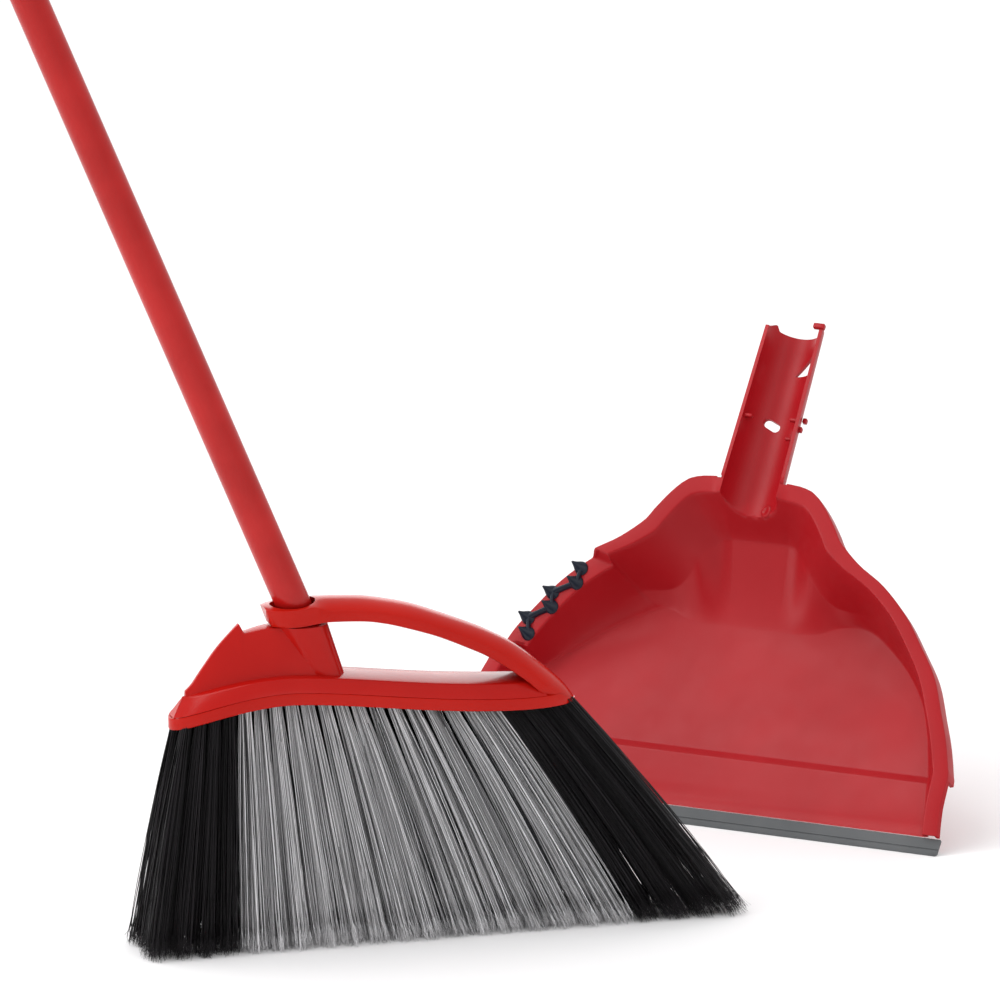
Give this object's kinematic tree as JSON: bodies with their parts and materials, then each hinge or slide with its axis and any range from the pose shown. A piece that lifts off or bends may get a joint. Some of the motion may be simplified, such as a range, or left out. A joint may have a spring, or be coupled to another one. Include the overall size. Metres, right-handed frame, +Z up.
{
  "type": "dustpan and brush",
  "caption": "Angle broom with fanned bristles, a guard bow and a screw-in pole, beside a dustpan with a channel handle, a soft lip and a comb.",
  "frame": {"origin": "middle of the whole object's box, on the floor", "axes": "+Z up from the floor, X along the bristle fan with the pole leaning towards -X, -Y towards the broom's front"},
  "size_m": [0.928, 0.34, 1.3489],
  "materials": {
    "head": "gloss",
    "cover": "gloss",
    "block": "matte",
    "pole": "gloss",
    "black_plastic": "satin",
    "pan": "satin",
    "lip": "matte",
    "comb": "satin",
    "tuft_black": "satin",
    "tuft_grey": "satin"
  },
  "bodies": {
    "broom_head": {"head_frame": "head", "bow_rear_strip": "head", "head_cover": "cover", "bristle_block": "block", "tuft_front_01": "tuft_black", "tuft_front_02": "tuft_black", "tuft_front_03": "tuft_black", "tuft_front_04": "tuft_black", "tuft_front_05": "tuft_grey", "tuft_front_06": "tuft_grey", "tuft_front_07": "tuft_grey", "tuft_front_08": "tuft_grey", "tuft_front_09": "tuft_grey", "tuft_front_10": "tuft_grey", "tuft_front_11": "tuft_grey", "tuft_front_12": "tuft_grey", "tuft_front_13": "tuft_grey", "tuft_front_14": "tuft_grey", "tuft_front_15": "tuft_grey", "tuft_front_16": "tuft_grey", "tuft_front_17": "tuft_grey", "tuft_front_18": "tuft_grey", "tuft_front_19": "tuft_grey", "tuft_front_20": "tuft_black", "tuft_front_21": "tuft_black", "tuft_front_22": "tuft_black", "tuft_front_23": "tuft_black", "tuft_rear_01": "tuft_black", "tuft_rear_02": "tuft_black", "tuft_rear_03": "tuft_black", "tuft_rear_04": "tuft_black", "tuft_rear_05": "tuft_black", "tuft_rear_06": "tuft_black", "tuft_rear_07": "tuft_black", "tuft_rear_08": "tuft_black", "tuft_rear_09": "tuft_black", "tuft_rear_10": "tuft_black", "tuft_rear_11": "tuft_black", "tuft_rear_12": "tuft_black", "tuft_rear_13": "tuft_black", "tuft_rear_14": "tuft_black", "tuft_rear_15": "tuft_black", "tuft_rear_16": "tuft_black", "tuft_rear_17": "tuft_black", "tuft_rear_18": "tuft_black", "tuft_rear_19": "tuft_black", "tuft_rear_20": "tuft_black", "tuft_rear_21": "tuft_black", "tuft_rear_22": "tuft_black", "tuft_rear_23": "tuft_black"},
    "pole": {"pole_tube": "pole", "pole_thread_tip": "black_plastic", "pole_cap": "black_plastic"},
    "dustpan": {"pan_body": "pan", "pan_lip": "lip", "pan_comb": "comb"}
  },
  "joints": [
    {"name": "pole_withdraw", "type": "slide", "parent": "broom_head", "child": "pole", "axis": [-0.387, 0, 0.9221], "range_m": [0, 0.06]},
    {"name": "dustpan_lift", "type": "slide", "parent": "broom_head", "child": "dustpan", "axis": [0, 0, 1], "range_m": [0, 0.3]}
  ]
}
